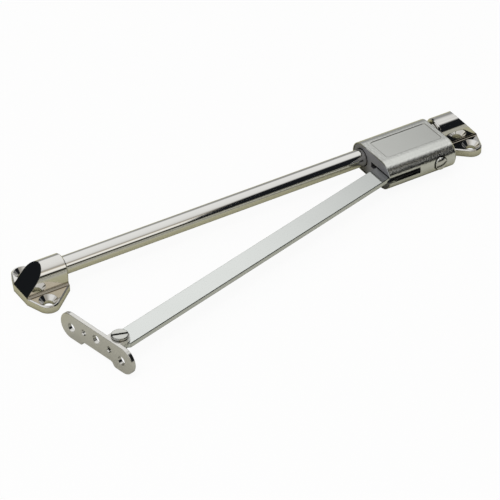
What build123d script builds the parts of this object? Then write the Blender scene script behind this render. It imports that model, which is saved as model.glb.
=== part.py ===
from build123d import *
import math
import os

os.makedirs("parts", exist_ok=True)

# Lid stay: a guide rod between two screwed end brackets, a braked slider on the rod,
# and a flat arm from the slider to a flap plate. Millimetres, X along the rod, Z up.
# The mounting plane is z = 0; x = 0 is the left bracket's hole line, y = 0 the rod axis.

# ---------------------------------------------------------------- driving dimensions
rod_d = 10.0
rod_height = 11.0
bracket_pitch = 268.0
running_gap = 0.05

# end bracket casting
foot_thick = 4.4
foot_hole_pitch = 28.0
foot_hole_d = 5.2
foot_sink_d = 10.0
ear_r = 6.1
outer_flat_x = 9.0
outer_flat_half = 7.4
mouth_x = 16.0
mouth_half = 8.0
barrel_r = 7.4
facet_top_x = 2.9
flank_r = 1.2
foot_edge = 0.6
mouth_edge = 0.7
rod_socket = 13.0
rod_pin_d = 3.0

# slider housing
shell_left = 204.0
shell_right = 248.5
shell_r = 8.6
shell_front = -19.5
shell_wall = 1.3
shell_end_wall = 2.0
end_edge = 1.1
mouth_wall = 0.5
mouth_depth = 1.6
insert_gap = 0.2
insert_sunk = 0.3
bush_sunk = 1.5
field_size = (36.4, 17.0)
field_left = 208.6
field_rear = -1.0
field_depth = 0.25
rod_clear = 0.4

# arm
arm_w = 11.8
arm_thick = 2.6
arm_mid = 11.4
arm_length = 215.0
arm_angle = 14.9
arm_pin_xy = (217.5, -17.0)
arm_pin_d = 5.0
arm_nose_r = 6.0
pocket_gap = 0.5
pocket_rear = -9.0
arm_bush_wall = 1.0
washer_thick = 0.35
washer_d = 11.0

# brake
brake_x = 237.5
screw_d = 7.4
screw_hole_d = 8.3
head_proud = 0.7
head_dome = 1.1
driver_w = 1.2
driver_deep = 1.2
driver_tilt = 17.0
shoe_d = 8.0
shoe_len = 5.0
spring_d = 7.8
spring_count = 2
spring_rise = 0.75
spring_thick = 0.45
cup_thick = 1.2
thread_bush_d = 10.4
thread_bush_len = 11.5

# flap plate
sheet = 2.2
tab_gap = 0.3
plate_angle = -77.7
plate_hole_s = 19.0
plate_hole_w = 8.0
plate_hole_d = 5.2
centre_hole_w = 5.0
nail_hole_s = 9.6
nail_hole_w = 6.0
nail_hole_d = 2.8
plate_end_s = 27.3
waist_rise = 2.6
tab_s = 11.2
tab_axis = 6.35
tab_r = 5.0
tab_w = 10.0

# pivot at the flap plate
pivot_head_d = 9.0
pivot_head_h = 1.4
pivot_shoulder_d = 5.0
pivot_nose_r = 3.6
shoulder_clear = 1.8
pivot_slot_turn = -18.0
clinch_d = 7.0
clinch_h = 2.4

# ---------------------------------------------------------------- derived dimensions
rod_r = rod_d / 2
arm_low = arm_mid - arm_thick / 2
arm_top = arm_mid + arm_thick / 2
slot_gap = washer_thick + running_gap
slot_low = arm_low - slot_gap
slot_high = arm_top + slot_gap
slot_right = arm_pin_xy[0] + arm_nose_r + pocket_gap
arm_dir = (math.cos(math.radians(arm_angle)), math.sin(math.radians(arm_angle)))
flap_xy = (arm_pin_xy[0] - arm_length * arm_dir[0], arm_pin_xy[1] - arm_length * arm_dir[1])
tab_low = arm_top + tab_gap
plate_h = tab_low + sheet


def save(shape, node):
    export_step(shape, f"parts/{node}.step")


def cyl(radius, length, at=(0, 0, 0), along=(0, 0, 1)):
    # a cylinder that starts at a point and runs along a direction
    return Plane(origin=at, z_dir=along) * Cylinder(radius, length, align=(Align.CENTER, Align.CENTER, Align.MIN))


def block(x0, x1, y0, y1, z0, z1):
    return Pos((x0 + x1) / 2, (y0 + y1) / 2, (z0 + z1) / 2) * Box(x1 - x0, y1 - y0, z1 - z0)


def cone(r_low, r_high, length, at, along=(0, 0, 1)):
    return Plane(origin=at, z_dir=along) * Cone(r_low, r_high, length, align=(Align.CENTER, Align.CENTER, Align.MIN))


# ---------------------------------------------------------------- end brackets
def bracket_casting():
    half_pitch = foot_hole_pitch / 2
    with BuildSketch() as outline:
        with BuildLine():
            Line((-outer_flat_x, -outer_flat_half), (-outer_flat_x, outer_flat_half))
            Line((mouth_x, -mouth_half), (mouth_x, mouth_half))
            CenterArc((0, half_pitch), ear_r, 0, 360)
            CenterArc((0, -half_pitch), ear_r, 0, 360)
        make_hull()
    foot = extrude(outline.sketch, foot_thick)
    foot = chamfer(foot.faces().sort_by(Axis.Z)[-1].edges(), foot_edge)

    # the barrel: round above the rod axis, straight flanks down to the foot
    barrel = block(-outer_flat_x, mouth_x, -barrel_r, barrel_r, foot_thick / 2, rod_height)
    barrel += cyl(barrel_r, outer_flat_x + mouth_x, (-outer_flat_x, 0, rod_height), (1, 0, 0))
    rim = [e for e in barrel.faces().sort_by(Axis.X)[-1].edges() if e.center().Z > foot_thick]
    barrel = chamfer(rim, mouth_edge)

    # a small cove each side, where the flank runs into the foot
    cove = Part()
    for side in (-1, 1):
        web = block(-outer_flat_x, mouth_x, 0, flank_r, foot_thick - 0.5, foot_thick + flank_r)
        web = Pos(0, barrel_r if side > 0 else -barrel_r - flank_r, 0) * web
        axis_y = side * (barrel_r + flank_r)
        web -= cyl(flank_r, 60, (-30, axis_y, foot_thick + flank_r), (1, 0, 0))
        cove += web
    cove = cove & extrude(offset(outline.sketch, -foot_edge / 2), foot_thick + flank_r + 2)
    body = foot + barrel + cove

    # the sloping outer facet, down to the foot's top at the outer end
    rise = rod_height + barrel_r - foot_thick
    run = outer_flat_x + facet_top_x
    with BuildSketch(Plane.XZ) as facet:
        with BuildLine():
            Polyline((facet_top_x, foot_thick + rise), (-outer_flat_x, foot_thick), (-outer_flat_x - 5, foot_thick),
                     (-outer_flat_x - 5, foot_thick + rise + 5), (facet_top_x + run * 5 / rise, foot_thick + rise + 5),
                     close=True)
        make_face()
    body -= extrude(facet.sketch, 30, both=True)

    # screw holes, rod socket and the hole for the rod's locking pin
    for side in (-1, 1):
        at = (0, side * half_pitch, 0)
        body -= cyl(foot_hole_d / 2, foot_thick + 1, at)
        sink = (foot_sink_d - foot_hole_d) / 2
        body -= cone(foot_hole_d / 2, foot_sink_d / 2 + 0.5, sink + 0.5, (0, side * half_pitch, foot_thick - sink))
    socket_end = mouth_x - rod_socket
    body -= cyl(rod_r, rod_socket + 1, (socket_end, 0, rod_height), (1, 0, 0))
    body -= cone(rod_r, rod_r + 0.6, 0.6, (mouth_x - 0.6, 0, rod_height), (1, 0, 0))
    body -= cyl(rod_pin_d / 2, rod_height, (socket_end + rod_socket / 2, 0, -1))
    return body


left_bracket = bracket_casting()
right_bracket = Pos(bracket_pitch, 0, 0) * Rot(0, 0, 180) * left_bracket
save(left_bracket, "left_bracket")
save(right_bracket, "right_bracket")

# ---------------------------------------------------------------- guide rod and its locking pins
rod_left = mouth_x - rod_socket
rod_right = bracket_pitch - rod_left
rod = cyl(rod_r, rod_right - rod_left, (rod_left, 0, rod_height), (1, 0, 0))
rod = chamfer(rod.edges().filter_by(GeomType.CIRCLE), 0.6)
pin_reach = rod_height + 1.5
pin_low = 0.6
for centre_x, node in ((rod_left + rod_socket / 2, "left_rod_pin"), (rod_right - rod_socket / 2, "right_rod_pin")):
    rod -= cyl(rod_pin_d / 2, pin_reach, (centre_x, 0, 0))
    pin = cyl(rod_pin_d / 2, pin_reach - pin_low, (centre_x, 0, pin_low))
    save(pin, node)
save(rod, "guide_rod")


# ---------------------------------------------------------------- slider
def stadium(x0, x1, radius):
    # bar along X whose section is two half rounds, one about the rod, one at the front
    bar = cyl(radius, x1 - x0, (x0, 0, rod_height), (1, 0, 0))
    bar += cyl(radius, x1 - x0, (x0, shell_front, rod_height), (1, 0, 0))
    bar += block(x0, x1, shell_front, 0, rod_height - radius, rod_height + radius)
    return bar


front_face = shell_front - shell_r
bush_r = rod_r + 1.15

housing = stadium(shell_left, shell_right, shell_r)
housing = chamfer(housing.faces().sort_by(Axis.X)[-1].edges(), end_edge)
cavity = stadium(shell_left - 1, shell_right - shell_end_wall, shell_r - shell_wall)
housing -= cavity
housing -= stadium(shell_left - 1, shell_left + mouth_depth, shell_r - mouth_wall)
slot = block(shell_left - 1, slot_right, front_face - 1, shell_front, slot_low, slot_high)
housing -= slot
housing -= cyl(bush_r, 10, (shell_right - 5, 0, rod_height), (1, 0, 0))
housing -= cyl(screw_hole_d / 2, 12, (brake_x, front_face - 1, rod_height), (0, 1, 0))
field_top = rod_height + shell_r
field = block(field_left, field_left + field_size[0], field_rear - field_size[1], field_rear,
              field_top - field_depth, field_top + 1)
field = fillet(field.edges().filter_by(Axis.Z), 1.4)
housing -= field
pin_head_r = arm_pin_d / 2 + shell_wall
housing -= cyl(arm_pin_d / 2, 4, (*arm_pin_xy, rod_height - shell_r - 1))
housing -= cone(pin_head_r, arm_pin_d / 2, pin_head_r - arm_pin_d / 2, (*arm_pin_xy, rod_height - shell_r))
save(housing, "housing")

# insert that fills the housing and holds the bushes, the arm pin and the brake
insert_r = shell_r - shell_wall - insert_gap
insert_left = shell_left + insert_sunk
insert_right = shell_right - shell_end_wall
insert = stadium(insert_left, insert_right, insert_r)
insert += stadium(insert_left, shell_left + mouth_depth, shell_r - mouth_wall - insert_gap)
insert -= block(shell_left - 1, arm_pin_xy[0], front_face, pocket_rear, slot_low, slot_high)
insert -= block(shell_left - 1, slot_right, front_face, arm_pin_xy[1], slot_low, slot_high)
insert -= cyl(arm_nose_r + pocket_gap, slot_high - slot_low, (*arm_pin_xy, slot_low))
insert -= cyl(rod_r + rod_clear, 60, (shell_left - 5, 0, rod_height), (1, 0, 0))
left_bush_start = shell_left + bush_sunk
left_bush_len = 9.0
insert -= cyl(bush_r, left_bush_len, (left_bush_start, 0, rod_height), (1, 0, 0))
right_bush_start = brake_x + shoe_d / 2 + 1.0
insert -= cyl(bush_r, 20, (right_bush_start, 0, rod_height), (1, 0, 0))
pin_top = rod_height + insert_r - 1.0
pin_bottom = rod_height - shell_r
insert -= cyl(arm_pin_d / 2, pin_top - pin_bottom, (*arm_pin_xy, pin_bottom))
shoe_r = shoe_d / 2
shoe_bore_r = shoe_r + 0.15
shoe_back = -(rod_r + running_gap + shoe_len)
stack_len = spring_count * spring_rise
cup_front = shoe_back - stack_len - cup_thick
insert -= cyl(shoe_bore_r, -cup_front, (brake_x, cup_front, rod_height), (0, 1, 0))
thread_bush_front = cup_front - thread_bush_len
insert -= cyl(thread_bush_d / 2, 30, (brake_x, cup_front - 30, rod_height), (0, 1, 0))
save(insert, "guide_insert")


def rod_bush(x0, x1):
    bush = cyl(bush_r, x1 - x0, (x0, 0, rod_height), (1, 0, 0))
    bush -= cyl(rod_r + running_gap, x1 - x0 + 2, (x0 - 1, 0, rod_height), (1, 0, 0))
    return bush


save(rod_bush(left_bush_start, left_bush_start + left_bush_len), "left_rod_bush")
save(rod_bush(right_bush_start, shell_right + 0.4), "right_rod_bush")

# arm pin, riveted into the underside of the housing
arm_pin = cyl(arm_pin_d / 2, pin_top - pin_bottom, (*arm_pin_xy, pin_bottom))
arm_pin += cone(pin_head_r, arm_pin_d / 2, pin_head_r - arm_pin_d / 2, (*arm_pin_xy, pin_bottom))
save(arm_pin, "arm_pin")

# thin washers above and below the arm
washers = []
for low in (slot_low, slot_high - washer_thick):
    ring = cyl(washer_d / 2, washer_thick, (*arm_pin_xy, low))
    ring -= cyl(arm_pin_d / 2, washer_thick + 1, (*arm_pin_xy, low - 0.5))
    washers.append(ring)
save(Compound(washers), "arm_washers")

# brake shoe, its disc springs, the cup behind them, the threaded bush and the screw
shoe = cyl(shoe_r, shoe_len + 3, (brake_x, shoe_back, rod_height), (0, 1, 0))
shoe -= cyl(rod_r + running_gap, 30, (brake_x - 15, 0, rod_height), (1, 0, 0))
save(shoe, "brake_shoe")

springs = []
for i in range(spring_count):
    # conical discs, laid edge to edge and crown to crown in turn
    near = shoe_back - i * spring_rise
    rim_r = spring_d / 2
    hole_r = 1.6
    tall = spring_rise - spring_thick
    if i % 2 == 0:
        profile = [(hole_r, 0), (rim_r, tall), (rim_r, spring_rise), (hole_r, spring_thick)]
    else:
        profile = [(hole_r, tall), (rim_r, 0), (rim_r, spring_thick), (hole_r, spring_rise)]
    points = [(brake_x + r, near - d) for r, d in profile]
    face = make_face(Polyline(*[(x, y, rod_height) for x, y in points], close=True).edges())
    springs.append(revolve(face, Axis((brake_x, 0, rod_height), (0, 1, 0)), 360))
save(Compound(springs), "disc_springs")

cup = cyl(spring_d / 2, cup_thick, (brake_x, cup_front, rod_height), (0, 1, 0))
save(cup, "pressure_washer")

screw_r = screw_d / 2
thread_bush = cyl(thread_bush_d / 2, thread_bush_len, (brake_x, thread_bush_front, rod_height), (0, 1, 0))
thread_bush -= cyl(screw_r + running_gap, thread_bush_len + 2, (brake_x, thread_bush_front - 1, rod_height), (0, 1, 0))
save(thread_bush, "thread_bush")

# the screw's domed, slotted head stands a little proud of the housing
crown = front_face - head_proud - head_dome
dome_r = (screw_r ** 2 + head_dome ** 2) / (2 * head_dome)
screw = cyl(screw_r, cup_front - crown, (brake_x, crown, rod_height), (0, 1, 0))
dome_end = cyl(screw_r + 1, head_dome, (brake_x, crown, rod_height), (0, 1, 0))
screw -= dome_end - Pos(brake_x, crown + dome_r, rod_height) * Sphere(dome_r)
driver = block(-screw_d, screw_d, crown - 1, crown + driver_deep, -driver_w / 2, driver_w / 2)
screw -= Pos(brake_x, 0, rod_height) * Rot(0, -driver_tilt, 0) * driver
save(screw, "brake_screw")

# ---------------------------------------------------------------- arm
with BuildSketch() as arm_plan:
    with BuildLine():
        CenterArc((0, 0), arm_nose_r, 0, 360)
        CenterArc((-arm_length, 0), pivot_nose_r, 0, 360)
        Line((-arm_length + shoulder_clear, -arm_w / 2), (-arm_length + shoulder_clear, arm_w / 2))
        Line((-arm_nose_r, -arm_w / 2), (-arm_nose_r, arm_w / 2))
    make_hull()
arm = extrude(arm_plan.sketch, arm_thick)
bush_hole_r = arm_pin_d / 2 + running_gap + arm_bush_wall
arm = chamfer(arm.edges().group_by(Axis.Z)[-1], 0.25)
arm -= cyl(bush_hole_r, arm_thick + 2, (0, 0, -1))
arm -= cyl(pivot_shoulder_d / 2, arm_thick + 2, (-arm_length, 0, -1))
arm = Pos(*arm_pin_xy, arm_low) * Rot(0, 0, arm_angle) * arm
save(arm, "arm")

arm_bush = cyl(bush_hole_r, arm_thick, (*arm_pin_xy, arm_low))
arm_bush -= cyl(arm_pin_d / 2 + running_gap, arm_thick + 2, (*arm_pin_xy, arm_low - 1))
save(arm_bush, "arm_bush")

# clinch nut: spigot in the arm, collar below it, threaded for the pivot screw
pivot_thread_r = 2.0
nut = cyl(pivot_shoulder_d / 2, arm_thick, (*flap_xy, arm_low))
nut += cyl(clinch_d / 2, clinch_h, (*flap_xy, arm_low - clinch_h))
nut -= cyl(pivot_thread_r, 20, (*flap_xy, arm_low - 10))
save(nut, "clinch_nut")

# pivot screw: slotted head above the tab, shoulder in the tab, thread in the nut
head_low = plate_h + running_gap
pivot_screw = cyl(pivot_head_d / 2, pivot_head_h, (*flap_xy, head_low))
pivot_screw = chamfer(pivot_screw.edges().group_by(Axis.Z)[-1], 0.3)
pivot_screw += cyl(pivot_shoulder_d / 2, head_low - arm_top, (*flap_xy, arm_top))
pivot_screw += cyl(pivot_thread_r, arm_top - arm_low + clinch_h + 0.8, (*flap_xy, arm_low - clinch_h - 0.8))
driver_slot = block(-pivot_head_d, pivot_head_d, -0.6, 0.6, head_low + pivot_head_h - 0.8, head_low + pivot_head_h + 1)
pivot_screw -= Pos(*flap_xy, 0) * Rot(0, 0, pivot_slot_turn) * driver_slot
save(pivot_screw, "pivot_screw")

tab_washer = cyl(tab_axis - sheet - 0.3, tab_low - arm_top - running_gap, (*flap_xy, arm_top))
tab_washer -= cyl(pivot_shoulder_d / 2, 5, (*flap_xy, arm_top - 1))
save(tab_washer, "tab_washer")

# ---------------------------------------------------------------- flap plate
# drawn in its own plane: s along the plate, height above the lower edge
lobe_r = plate_h / 2
rear_step = (-12.5, -9.5)
front_step = (10.5, 14.5)
with BuildSketch() as plate_face:
    with BuildLine() as edge:
        top = Line((-plate_end_s + lobe_r, plate_h), (plate_end_s - lobe_r, plate_h))
        front_end = TangentArc(top @ 1, (plate_end_s - lobe_r, 0), tangent=(1, 0))
        foot_a = Line((plate_end_s - lobe_r, 0), (front_step[1], 0))
        middle_a = ((front_step[0] + front_step[1]) / 2, waist_rise / 2)
        rise_a1 = TangentArc((front_step[1], 0), middle_a, tangent=(-1, 0))
        rise_a2 = TangentArc((front_step[0], waist_rise), middle_a, tangent=(1, 0))
        waist = Line((front_step[0], waist_rise), (rear_step[1], waist_rise))
        middle_b = ((rear_step[0] + rear_step[1]) / 2, waist_rise / 2)
        rise_b1 = TangentArc((rear_step[1], waist_rise), middle_b, tangent=(-1, 0))
        rise_b2 = TangentArc((rear_step[0], 0), middle_b, tangent=(1, 0))
        foot_b = Line((rear_step[0], 0), (-plate_end_s + lobe_r, 0))
        rear_end = TangentArc((-plate_end_s + lobe_r, 0), (-plate_end_s + lobe_r, plate_h), tangent=(-1, 0))
    make_face()
# local frame: X = s, Y = behind the plate, Z = height
plate = extrude(Plane.XZ * plate_face.sketch, -sheet)
plate = chamfer(plate.faces().sort_by(Axis.Y)[0].outer_wire().edges(), 0.2)
for s, w, d in ((-plate_hole_s, plate_hole_w, plate_hole_d), (0, centre_hole_w, plate_hole_d),
                (plate_hole_s, plate_hole_w, plate_hole_d), (-nail_hole_s, nail_hole_w, nail_hole_d),
                (nail_hole_s, nail_hole_w, nail_hole_d)):
    plate -= cyl(d / 2, sheet + 2, (s, -1, plate_h - w), (0, 1, 0))
for s in (-nail_hole_s, nail_hole_s):
    plate -= cone(nail_hole_d / 2 + 0.5, nail_hole_d / 2, 0.5, (s, 0, plate_h - nail_hole_w), (0, 1, 0))

# the ear folded back from the top edge over the arm
ear = block(tab_s - tab_w / 2, tab_s + tab_w / 2, sheet / 2, tab_axis, tab_low, plate_h)
ear += cyl(tab_r, sheet, (tab_s, tab_axis, tab_low))
ear -= cyl(pivot_shoulder_d / 2 + running_gap, sheet + 2, (tab_s, tab_axis, tab_low - 1))
plate += ear
# place it: local X to the plate's direction, the ear's hole on the pivot axis
plate = Pos(*flap_xy, 0) * Rot(0, 0, plate_angle) * Pos(-tab_s, -tab_axis, 0) * plate
save(plate, "flap_plate")
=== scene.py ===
import math

import bpy
from mathutils import Matrix, Vector

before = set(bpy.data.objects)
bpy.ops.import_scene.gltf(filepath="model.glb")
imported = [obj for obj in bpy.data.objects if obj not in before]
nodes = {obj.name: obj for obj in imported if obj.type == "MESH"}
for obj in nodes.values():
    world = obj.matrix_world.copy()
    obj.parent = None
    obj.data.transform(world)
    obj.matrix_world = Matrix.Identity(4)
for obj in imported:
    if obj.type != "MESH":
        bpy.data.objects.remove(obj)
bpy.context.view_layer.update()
print("frame loaded:", len(nodes), "pieces")

# camera: long lens from the front left, looking down at the stay
cameraValues = {
    "lens": 201.52,
    "sensor": 36,
    "clipEnd": 20,
    "azimuth": -31.7118,
    "elevation": 36.4159,
    "roll": -0.2795,
    "aim": (0.1144317, -0.027678, 0.0),
    "distance": 1.4906548,
}


def makeCamera(values):
    az, el, roll = (math.radians(values[key]) for key in ("azimuth", "elevation", "roll"))
    back = Vector((math.sin(az) * math.cos(el), -math.cos(az) * math.cos(el), math.sin(el)))
    right = (-back).cross(Vector((0, 0, 1))).normalized()
    up = right.cross(-back)
    rightRolled = math.cos(roll) * right + math.sin(roll) * up
    upRolled = -math.sin(roll) * right + math.cos(roll) * up
    turn = Matrix((rightRolled, upRolled, back)).transposed().to_4x4()
    data = bpy.data.cameras.new("productCamera")
    data.sensor_width = values["sensor"]
    data.lens = values["lens"]
    data.clip_end = values["clipEnd"]
    camera = bpy.data.objects.new("productCamera", data)
    camera.matrix_world = Matrix.Translation(Vector(values["aim"]) + back * values["distance"]) @ turn
    bpy.context.scene.collection.objects.link(camera)
    bpy.context.scene.camera = camera


makeCamera(cameraValues)
print("camera made")


# helpers for materials
def newMaterial(name):
    mat = bpy.data.materials.new(name)
    mat.use_nodes = True
    return mat, mat.node_tree, mat.node_tree.nodes["Principled BSDF"]


def node(tree, kind, **settings):
    n = tree.nodes.new(kind)
    for key, value in settings.items():
        if key in n.inputs:
            n.inputs[key].default_value = value
        else:
            setattr(n, key, value)
    return n


def feed(tree, value, socket):
    # a number or a colour is written in the socket, anything else is linked to it
    if isinstance(value, (int, float)):
        socket.default_value = value
    elif isinstance(value, tuple):
        socket.default_value = (*value, 1)
    else:
        tree.links.new(value, socket)


def maths(tree, operation, first, second=0.0):
    n = node(tree, "ShaderNodeMath", operation=operation)
    feed(tree, first, n.inputs[0])
    feed(tree, second, n.inputs[1])
    return n.outputs[0]


def mix(tree, factor, first, second):
    n = node(tree, "ShaderNodeMix", data_type="RGBA")
    feed(tree, factor, n.inputs["Factor"])
    feed(tree, first, n.inputs["A"])
    feed(tree, second, n.inputs["B"])
    return n.outputs["Result"]


def mapRange(tree, value, start, end, low, high):
    n = node(tree, "ShaderNodeMapRange")
    for key, number in (("From Min", start), ("From Max", end), ("To Min", low), ("To Max", high)):
        n.inputs[key].default_value = number
    tree.links.new(value, n.inputs["Value"])
    return n.outputs["Result"]


def fadeIn(tree, value, start, end):
    # smooth rise from 0 to 1
    n = node(tree, "ShaderNodeMapRange", interpolation_type="SMOOTHSTEP")
    n.inputs["From Min"].default_value = start
    n.inputs["From Max"].default_value = end
    tree.links.new(value, n.inputs["Value"])
    return n.outputs["Result"]


def fadeOut(tree, value, start, end):
    return maths(tree, "SUBTRACT", 1.0, fadeIn(tree, value, start, end))


def window(tree, value, start, full, ebb, end):
    return maths(tree, "MULTIPLY", fadeIn(tree, value, start, full), fadeOut(tree, value, ebb, end))


def ramp(tree, value, stops):
    n = tree.nodes.new("ShaderNodeValToRGB")
    while len(n.color_ramp.elements) < len(stops):
        n.color_ramp.elements.new(0.5)
    for element, (place, tone) in zip(n.color_ramp.elements, stops):
        element.position = place
        element.color = (*tone, 1) if isinstance(tone, tuple) else (tone, tone, tone, 1)
    tree.links.new(value, n.inputs["Fac"])
    return n.outputs["Color"]


def axes(tree, vector):
    n = node(tree, "ShaderNodeSeparateXYZ")
    tree.links.new(vector, n.inputs[0])
    return n.outputs["X"], n.outputs["Y"], n.outputs["Z"]


def place(tree):
    return node(tree, "ShaderNodeTexCoord").outputs["Object"]


def dress(mat, *names):
    for name in names:
        mesh = nodes[name].data
        mesh.materials.clear()
        mesh.materials.append(mat)


def newGroup(name, inputs, outputs):
    group = bpy.data.node_groups.new(name, "ShaderNodeTree")
    for key, value in inputs.items():
        socket = group.interface.new_socket(key, in_out="INPUT", socket_type="NodeSocketFloat")
        socket.default_value = value
    for key, kind in outputs.items():
        group.interface.new_socket(key, in_out="OUTPUT", socket_type=kind)
    return group, group.nodes.new("NodeGroupInput"), group.nodes.new("NodeGroupOutput")


# grain, and painted shade in inner corners, shared by every finish
grainValues = {
    "scale": 900,
    "fineDetail": 4.0,
    "broadScale": 60.0,
    "broadDetail": 2.0,
    "reach": 0.0015,
    "cornerShadeSamples": 6,
    "cornerShadeFade": (0.30, 0.98),
}


def grainGroup(values):
    # fine and broad uneven tone, and a mask that falls towards inner corners, where shade is painted
    group, inp, out = newGroup("grainAndCornerShade", {"Scale": values["scale"], "Reach": values["reach"]},
                               dict.fromkeys(("Fine", "Broad", "Unshaded"), "NodeSocketFloat"))
    coord = place(group)
    fine = node(group, "ShaderNodeTexNoise", Detail=values["fineDetail"])
    broad = node(group, "ShaderNodeTexNoise", Scale=values["broadScale"], Detail=values["broadDetail"])
    corner = node(group, "ShaderNodeAmbientOcclusion", samples=values["cornerShadeSamples"])
    link = group.links.new
    link(coord, fine.inputs["Vector"])
    link(inp.outputs["Scale"], fine.inputs["Scale"])
    link(coord, broad.inputs["Vector"])
    link(inp.outputs["Reach"], corner.inputs["Distance"])
    link(fine.outputs["Fac"], out.inputs["Fine"])
    link(broad.outputs["Fac"], out.inputs["Broad"])
    link(fadeIn(group, corner.outputs["AO"], *values["cornerShadeFade"]), out.inputs["Unshaded"])
    return group


# edges and painted edge shade, shared by every finish
edgeValues = {"softness": 0.0002, "reach": 0.0003, "samples": 4, "turn": (0.925, 0.995)}


def edgeGroup(values):
    # normals rounded off at the edges, and a mask that falls from 1 to 0 towards an edge, where dark shade lines
    # are painted
    group, inp, out = newGroup("edgeRoundingAndShade", {"Softness": values["softness"], "Reach": values["reach"]},
                               {"Normal": "NodeSocketVector", "Plain": "NodeSocketFloat"})
    soft = node(group, "ShaderNodeBevel", samples=values["samples"])
    rim = node(group, "ShaderNodeBevel", samples=values["samples"])
    surface = group.nodes.new("ShaderNodeNewGeometry")
    agree = node(group, "ShaderNodeVectorMath", operation="DOT_PRODUCT")
    link = group.links.new
    link(inp.outputs["Softness"], soft.inputs["Radius"])
    link(inp.outputs["Reach"], rim.inputs["Radius"])
    link(rim.outputs["Normal"], agree.inputs[0])
    link(surface.outputs["Normal"], agree.inputs[1])
    link(soft.outputs["Normal"], out.inputs["Normal"])
    link(fadeIn(group, agree.outputs["Value"], *values["turn"]), out.inputs["Plain"])
    return group


grainAndCornerShade = grainGroup(grainValues)
edgeRoundingAndShade = edgeGroup(edgeValues)

# what a finish has unless its own values say otherwise
usual = {"metallic": 1.0, "noiseSpan": (0.3, 0.7), "depth": 0.00005, "reach": 0.0015,
         "edge": 0.0001, "edgeReach": 0.0002}


def finishWithShade(name, values):
    # uneven tone and gloss, fine relief, softened edges, painted shade in inner corners, and painted shade lines
    # along edges where a finish gives an edge colour
    values = {**usual, **values}
    mat, tree, shader = newMaterial(name)
    shader.inputs["Metallic"].default_value = values["metallic"]
    wear = node(tree, "ShaderNodeGroup", node_tree=grainAndCornerShade)
    wear.inputs["Scale"].default_value = values["grainScale"]
    wear.inputs["Reach"].default_value = values["reach"]
    edges = node(tree, "ShaderNodeGroup", node_tree=edgeRoundingAndShade)
    edges.inputs["Softness"].default_value = values["edge"]
    edges.inputs["Reach"].default_value = values["edgeReach"]
    colour = mix(tree, wear.outputs["Broad"], values["dark"], values["light"])
    # painted shade: inner corners are darkened towards the finish's corner colour
    colour = mix(tree, wear.outputs["Unshaded"], values["corner"], colour)
    # painted shade: edges are darkened towards the finish's edge colour
    if "edgeShade" in values:
        colour = mix(tree, edges.outputs["Plain"], values["edgeShade"], colour)
    bump = node(tree, "ShaderNodeBump", Strength=values["bump"], Distance=values["depth"])
    link = tree.links.new
    link(colour, shader.inputs["Base Color"])
    link(mapRange(tree, wear.outputs["Fine"], *values["noiseSpan"], *values["rough"]), shader.inputs["Roughness"])
    link(wear.outputs["Fine"], bump.inputs["Height"])
    link(edges.outputs["Normal"], bump.inputs["Normal"])
    link(bump.outputs["Normal"], shader.inputs["Normal"])
    return mat, tree, shader, colour, bump


def plainFinish(name, values):
    return finishWithShade(name, values)[0]


# in each finish below, 'corner' is the colour of the painted shade in inner corners, and the edge colour, where
# given, is painted shade along the edges
# guide rod: polished nickel plate
polishedRod = {
    "dark": (0.77, 0.765, 0.745),
    "light": (0.81, 0.805, 0.785),
    "corner": (0.45, 0.44, 0.42),
    "rough": (0.02, 0.05),
    "grainScale": 500,
    "bump": 0.01,
    "edge": 0.0002,
    "reach": 0.0012,
}
dress(plainFinish("polishedRod", polishedRod), "guide_rod")

# end brackets: polished castings, with painted shade in the cove between barrel and foot
castBracket = {
    "dark": (0.76, 0.75, 0.725),
    "light": (0.81, 0.80, 0.775),
    "corner": (0.34, 0.32, 0.28),
    "rough": (0.03, 0.07),
    "grainScale": 260,
    "bump": 0.04,
    "edge": 0.0003,
    "reach": 0.0026,
    "edgeShade": (0.20, 0.19, 0.17),
    "edgeReach": 0.0003,
    "coveSide": (0.0068, 0.0072, 0.0088, 0.0092),
    "coveHeight": (0.0038, 0.0042, 0.0058, 0.0062),
    "coveShade": (0.34, 0.31, 0.26),
}


def bracketFinish(name, values):
    # painted shade darkens the cove, which otherwise mirrors a bright line of sky
    mat, tree, shader, colour, bump = finishWithShade(name, values)
    x, y, z = axes(tree, place(tree))
    across = window(tree, maths(tree, "ABSOLUTE", y), *values["coveSide"])
    upward = window(tree, z, *values["coveHeight"])
    coveShadeMask = maths(tree, "MULTIPLY", across, upward)
    tree.links.new(mix(tree, coveShadeMask, colour, values["coveShade"]), shader.inputs["Base Color"])
    return mat


dress(bracketFinish("castBracket", castBracket), "left_bracket", "right_bracket")

# slider housing: fine cast grain, smooth in the sunk field on top, with a painted shade line in the step round it
satinHousing = {
    "dark": (0.74, 0.75, 0.72),
    "light": (0.80, 0.81, 0.78),
    "corner": (0.30, 0.30, 0.28),
    "rough": (0.10, 0.20),
    "grainScale": 1250,
    "bump": 0.9,
    "depth": 0.00007,
    "edge": 0.00012,
    "reach": 0.001,
    "edgeShade": (0.20, 0.20, 0.185),
    "edgeReach": 0.0006,
    "fieldMiddle": (0.2268, -0.0095, 0.0),
    "fieldHalf": (0.0182, 0.0085),
    "fieldCorner": 0.0014,
    "fieldLow": (0.0187, 0.0190),
    "fieldSoft": (-0.0001, 0.0002),
    "fieldBump": 0.06,
    "line": (0.00010, 0.00035),
    "stepLineShade": (0.55, 0.55, 0.52),
}


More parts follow.
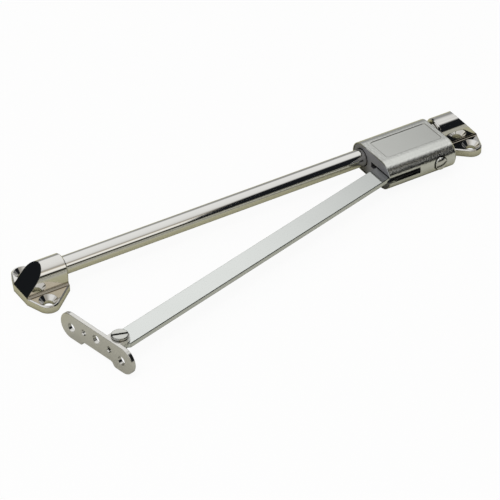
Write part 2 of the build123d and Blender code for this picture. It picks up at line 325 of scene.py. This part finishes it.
def housingFinish(name, values):
    mat, tree, shader, colour, bump = finishWithShade(name, values)
    apart = node(tree, "ShaderNodeVectorMath", operation="SUBTRACT")
    apart.inputs[1].default_value = values["fieldMiddle"]
    tree.links.new(place(tree), apart.inputs[0])
    x, y, z = axes(tree, apart.outputs[0])
    corner = values["fieldCorner"]
    squares = []
    for axis, half in zip((x, y), values["fieldHalf"]):
        beyond = maths(tree, "SUBTRACT", maths(tree, "ABSOLUTE", axis), half - corner)
        squares.append(maths(tree, "POWER", maths(tree, "MAXIMUM", beyond, 0.0), 2.0))
    # distance from the field's outline, below zero inside
    away = maths(tree, "SUBTRACT", maths(tree, "SQRT", maths(tree, "ADD", *squares)), corner)
    onTop = fadeIn(tree, z, *values["fieldLow"])
    field = maths(tree, "MULTIPLY", fadeOut(tree, away, *values["fieldSoft"]), onTop)
    nearLine = fadeOut(tree, maths(tree, "ABSOLUTE", away), *values["line"])
    line = maths(tree, "MULTIPLY", nearLine, onTop)
    # painted shade along the step round the field
    tree.links.new(mix(tree, line, colour, values["stepLineShade"]), shader.inputs["Base Color"])
    relief = mapRange(tree, field, 0.0, 1.0, values["bump"], values["fieldBump"])
    tree.links.new(relief, bump.inputs["Strength"])
    return mat


dress(housingFinish("satinHousing", satinHousing), "housing")

# insert in the housing's open end: grey moulded plastic, with painted shade deep inside
greyInsert = {
    "metallic": 0.0,
    "dark": (0.21, 0.21, 0.23),
    "light": (0.27, 0.27, 0.295),
    "corner": (0.03, 0.03, 0.033),
    "rough": (0.35, 0.45),
    "grainScale": 700,
    "bump": 0.15,
    "edge": 0.0002,
    "reach": 0.008,
}
dress(plainFinish("greyInsert", greyInsert), "guide_insert")

# arm: satin strip, with painted shade along its long edges
armSteel = {
    "dark": (0.76, 0.785, 0.77),
    "light": (0.80, 0.825, 0.81),
    "corner": (0.40, 0.40, 0.38),
    "rough": (0.06, 0.10),
    "grainScale": 900,
    "bump": 0.006,
    "edge": 0.0003,
    "reach": 0.001,
    "edgeShade": (0.10, 0.11, 0.09),
    "edgeReach": 0.0005,
}
dress(plainFinish("armSteel", armSteel), "arm")

# flap plate: satin sheet
plateSteel = {
    "dark": (0.70, 0.69, 0.66),
    "light": (0.76, 0.75, 0.72),
    "corner": (0.36, 0.35, 0.32),
    "rough": (0.10, 0.17),
    "grainScale": 900,
    "bump": 0.03,
    "edge": 0.0003,
    "reach": 0.001,
}
dress(plainFinish("plateSteel", plateSteel), "flap_plate")

# brake screw and clinch nut: bright nickel
nickelScrew = {
    "dark": (0.70, 0.70, 0.67),
    "light": (0.78, 0.78, 0.75),
    "corner": (0.16, 0.16, 0.15),
    "rough": (0.06, 0.12),
    "grainScale": 800,
    "bump": 0.05,
    "edge": 0.00015,
    "reach": 0.0012,
    "edgeShade": (0.20, 0.20, 0.18),
    "edgeReach": 0.0003,
}
dress(plainFinish("nickelScrew", nickelScrew), "brake_screw", "clinch_nut")

# pivot screw: bright nickel, with painted shade in its slot and round its head
pivotNickel = {
    "dark": (0.60, 0.60, 0.57),
    "light": (0.70, 0.70, 0.67),
    "corner": (0.06, 0.06, 0.055),
    "rough": (0.06, 0.12),
    "grainScale": 800,
    "bump": 0.05,
    "edge": 0.00015,
    "reach": 0.0022,
    "edgeShade": (0.05, 0.05, 0.045),
    "edgeReach": 0.0006,
}
dress(plainFinish("pivotNickel", pivotNickel), "pivot_screw")

# pins, disc springs and pressure washer: plain steel
plainSteel = {
    "dark": (0.40, 0.40, 0.41),
    "light": (0.50, 0.50, 0.51),
    "corner": (0.20, 0.20, 0.20),
    "rough": (0.30, 0.40),
    "grainScale": 900,
    "bump": 0.1,
}
dress(plainFinish("plainSteel", plainSteel),
      "left_rod_pin", "right_rod_pin", "arm_pin", "disc_springs", "pressure_washer")

# thread bush: turned brass
turnedBrass = {
    "dark": (0.60, 0.44, 0.20),
    "light": (0.68, 0.52, 0.26),
    "corner": (0.30, 0.20, 0.09),
    "rough": (0.20, 0.30),
    "grainScale": 900,
    "bump": 0.1,
}
dress(plainFinish("turnedBrass", turnedBrass), "thread_bush")

# bushes on the rod and in the arm: dark moulded plastic
darkBush = {
    "metallic": 0.0,
    "dark": (0.03, 0.03, 0.03),
    "light": (0.05, 0.05, 0.05),
    "corner": (0.01, 0.01, 0.01),
    "rough": (0.35, 0.45),
    "grainScale": 700,
    "bump": 0.1,
}
dress(plainFinish("darkBush", darkBush), "left_rod_bush", "right_rod_bush", "arm_bush")

# washers: natural nylon
naturalNylon = {
    "metallic": 0.0,
    "dark": (0.62, 0.62, 0.58),
    "light": (0.70, 0.70, 0.66),
    "corner": (0.35, 0.35, 0.32),
    "rough": (0.40, 0.50),
    "grainScale": 700,
    "bump": 0.1,
}
dress(plainFinish("naturalNylon", naturalNylon), "arm_washers", "tab_washer")

# brake shoe: brown friction plastic
frictionPad = {
    "metallic": 0.0,
    "dark": (0.20, 0.15, 0.10),
    "light": (0.26, 0.20, 0.14),
    "corner": (0.10, 0.07, 0.05),
    "rough": (0.60, 0.70),
    "grainScale": 500,
    "bump": 0.3,
}
dress(plainFinish("frictionPad", frictionPad), "brake_shoe")
print("finishes made")

# floor: white to the eye, a warm grey in the metal's reflections, and it keeps the shadow
floorValues = {
    "half": 3.0,
    "drop": 0.0002,
    "rough": 0.9,
    "tone": (0.80, 0.80, 0.79),
    "front": (0.485, 0.48, 0.425),
    "under": (0.49, 0.475, 0.335),
    "underFrom": (-0.040, -0.015),
    "whiteShare": 0.93,
}


def makeFloor(values):
    mesh = bpy.data.meshes.new("floor")
    half = values["half"]
    mesh.from_pydata([(-half, -half, 0), (half, -half, 0), (half, half, 0), (-half, half, 0)], [], [(0, 1, 2, 3)])
    floor = bpy.data.objects.new("floor", mesh)
    floor.location.z = -values["drop"]
    bpy.context.scene.collection.objects.link(floor)
    mat, tree, shader = newMaterial("paleFloor")
    shader.inputs["Roughness"].default_value = values["rough"]
    shader.inputs["Specular IOR Level"].default_value = 0.0
    toEye = node(tree, "ShaderNodeLightPath").outputs["Is Camera Ray"]
    x, y, z = axes(tree, place(tree))
    under = fadeIn(tree, y, *values["underFrom"])
    inMetal = mix(tree, under, values["front"], values["under"])
    tree.links.new(mix(tree, toEye, inMetal, values["tone"]), shader.inputs["Base Color"])
    white = node(tree, "ShaderNodeEmission", Strength=1.0)
    blend = node(tree, "ShaderNodeMixShader")
    tree.links.new(maths(tree, "MULTIPLY", toEye, values["whiteShare"]), blend.inputs[0])
    tree.links.new(shader.outputs[0], blend.inputs[1])
    tree.links.new(white.outputs[0], blend.inputs[2])
    tree.links.new(blend.outputs[0], tree.nodes["Material Output"].inputs["Surface"])
    mesh.materials.append(mat)


# surroundings that the metal mirrors
# bands go round the X axis in degrees, from the horizon behind over the top to the horizon in front
surroundValues = {
    "bands": [
        (0, (0.92, 0.92, 0.91)),
        (60, (0.92, 0.92, 0.91)),
        (98, (0.88, 0.88, 0.87)),
        (116, (0.80, 0.79, 0.77)),
        (124, (0.60, 0.59, 0.57)),
        (129, (0.38, 0.36, 0.33)),
        (136, (0.50, 0.46, 0.38)),
        (140, (0.66, 0.59, 0.47)),
        (142, (1.05, 1.03, 0.99)),
        (158, (1.0, 0.98, 0.92)),
        (162, (0.20, 0.19, 0.16)),
        (166, (0.01, 0.01, 0.01)),
        (172, (0.02, 0.02, 0.015)),
        (180, (0.34, 0.33, 0.27)),
    ],
    "rearEdge": (-0.853, 0.154, 0.498),
    "rearSoft": (-0.09, 0.06),
    "rearLow": (0.32, 0.47),
    "rearDim": 0.36,
    "frontLift": 2.0,
    "gapSides": (-0.10, -0.04, 0.08, 0.14),
    "gapBehind": (0.05, 0.15),
    "gapTone": (0.20, 0.20, 0.20),
    "rightFrom": (0.56, 0.66),
    "rightBands": [(0.0, 0.14), (0.36, 0.16), (0.50, 0.75), (1.0, 0.85)],
    "leftFrom": (0.50, 0.60),
    "leftBands": [(0.0, 0.10), (0.20, 0.12), (0.34, 0.80), (1.0, 0.90)],
    "flagLeft": 0.398,
    "flagTop": 0.575,
    "flagBend": 0.0030,
    "flagSoft": 0.05,
    "flagFoot": (0.955, 1.0),
    "lowFlagLeft": (0.25, 0.40),
    "lowFlagBehind": (0.25, 0.40),
    "lowFlagBelow": (-0.58, -0.42),
    "flagTone": (0.010, 0.011, 0.013),
}


def makeSurroundings(values):
    world = bpy.data.worlds.new("softStudio")
    bpy.context.scene.world = world
    world.use_nodes = True
    tree = world.node_tree
    tree.nodes.clear()
    link = tree.links.new
    toward = node(tree, "ShaderNodeTexCoord").outputs["Generated"]
    x, y, z = axes(tree, toward)
    around = maths(tree, "DIVIDE", maths(tree, "ARCTAN2", z, y), math.pi)
    bands = ramp(tree, around, [(angle / 180, tone) for angle, tone in values["bands"]])

    # behind, the bright part ends at a slanting edge and a little above the horizon
    slant = node(tree, "ShaderNodeVectorMath", operation="DOT_PRODUCT")
    slant.inputs[1].default_value = values["rearEdge"]
    link(toward, slant.inputs[0])
    forward = maths(tree, "MAXIMUM", maths(tree, "MULTIPLY", y, -1.0), 0.0)
    inFront = maths(tree, "MULTIPLY", forward, values["frontLift"])
    above = fadeIn(tree, maths(tree, "ADD", slant.outputs["Value"], inFront), *values["rearSoft"])
    bright = maths(tree, "MULTIPLY", above, fadeIn(tree, maths(tree, "ADD", z, inFront), *values["rearLow"]))
    dim = maths(tree, "ADD", maths(tree, "MULTIPLY", bright, 1 - values["rearDim"]), values["rearDim"])
    lit = node(tree, "ShaderNodeVectorMath", operation="SCALE")
    link(bands, lit.inputs[0])
    link(dim, lit.inputs["Scale"])

    # a grey gap high up behind, and walls to the right and left that are dark low down
    gap = maths(tree, "MULTIPLY", window(tree, x, *values["gapSides"]), fadeIn(tree, y, *values["gapBehind"]))
    tone = mix(tree, gap, lit.outputs[0], values["gapTone"])
    tone = mix(tree, fadeIn(tree, x, *values["rightFrom"]), tone, ramp(tree, z, values["rightBands"]))
    leftward = maths(tree, "MULTIPLY", x, -1.0)
    tone = mix(tree, fadeIn(tree, leftward, *values["leftFrom"]), tone, ramp(tree, z, values["leftBands"]))

    # dark flag in front to the right: its upper edge bends down towards its left end
    inward = maths(tree, "MAXIMUM", maths(tree, "SUBTRACT", x, values["flagLeft"]), 0.001)
    top = maths(tree, "ADD", maths(tree, "DIVIDE", values["flagBend"], inward), values["flagTop"])
    beyondTop = fadeIn(tree, maths(tree, "SUBTRACT", around, top), -values["flagSoft"], values["flagSoft"])
    frontFlag = maths(tree, "MULTIPLY", beyondTop, fadeOut(tree, around, *values["flagFoot"]))

    # dark flag low behind to the left
    below = fadeIn(tree, maths(tree, "MULTIPLY", z, -1.0), *values["lowFlagBelow"])
    behind = maths(tree, "MULTIPLY", fadeIn(tree, y, *values["lowFlagBehind"]), below)
    lowFlag = maths(tree, "MULTIPLY", fadeIn(tree, leftward, *values["lowFlagLeft"]), behind)
    sky = mix(tree, maths(tree, "MAXIMUM", frontFlag, lowFlag), tone, values["flagTone"])

    # white where the camera looks past the floor
    mirrored = node(tree, "ShaderNodeBackground")
    white = node(tree, "ShaderNodeBackground", Color=(1, 1, 1, 1))
    blend = node(tree, "ShaderNodeMixShader")
    link(sky, mirrored.inputs["Color"])
    link(node(tree, "ShaderNodeLightPath").outputs["Is Camera Ray"], blend.inputs[0])
    link(mirrored.outputs[0], blend.inputs[1])
    link(white.outputs[0], blend.inputs[2])
    link(blend.outputs[0], node(tree, "ShaderNodeOutputWorld").inputs["Surface"])


# two soft lamps, left out of the metal's reflections
lampValues = {
    "aim": (0.12, -0.03, 0),
    "keyLight": {"place": (-0.5, -0.4, 1.4), "size": (0.8, 0.8), "power": 8.0},
    "backLight": {"place": (0.5, 1.2, 1.0), "size": (1.2, 0.6), "power": 3.0},
}


def softLamp(name, values, aim):
    data = bpy.data.lights.new(name, "AREA")
    data.shape = "RECTANGLE"
    data.size, data.size_y = values["size"]
    data.energy = values["power"]
    lamp = bpy.data.objects.new(name, data)
    lamp.location = values["place"]
    direction = Vector(aim) - Vector(values["place"])
    lamp.rotation_euler = direction.to_track_quat("-Z", "Y").to_euler()
    lamp.visible_glossy = False
    bpy.context.scene.collection.objects.link(lamp)


makeFloor(floorValues)
makeSurroundings(surroundValues)
for lampName in ("keyLight", "backLight"):
    softLamp(lampName, lampValues[lampName], lampValues["aim"])
bpy.context.scene.view_settings.view_transform = "Standard"
print("studio made")
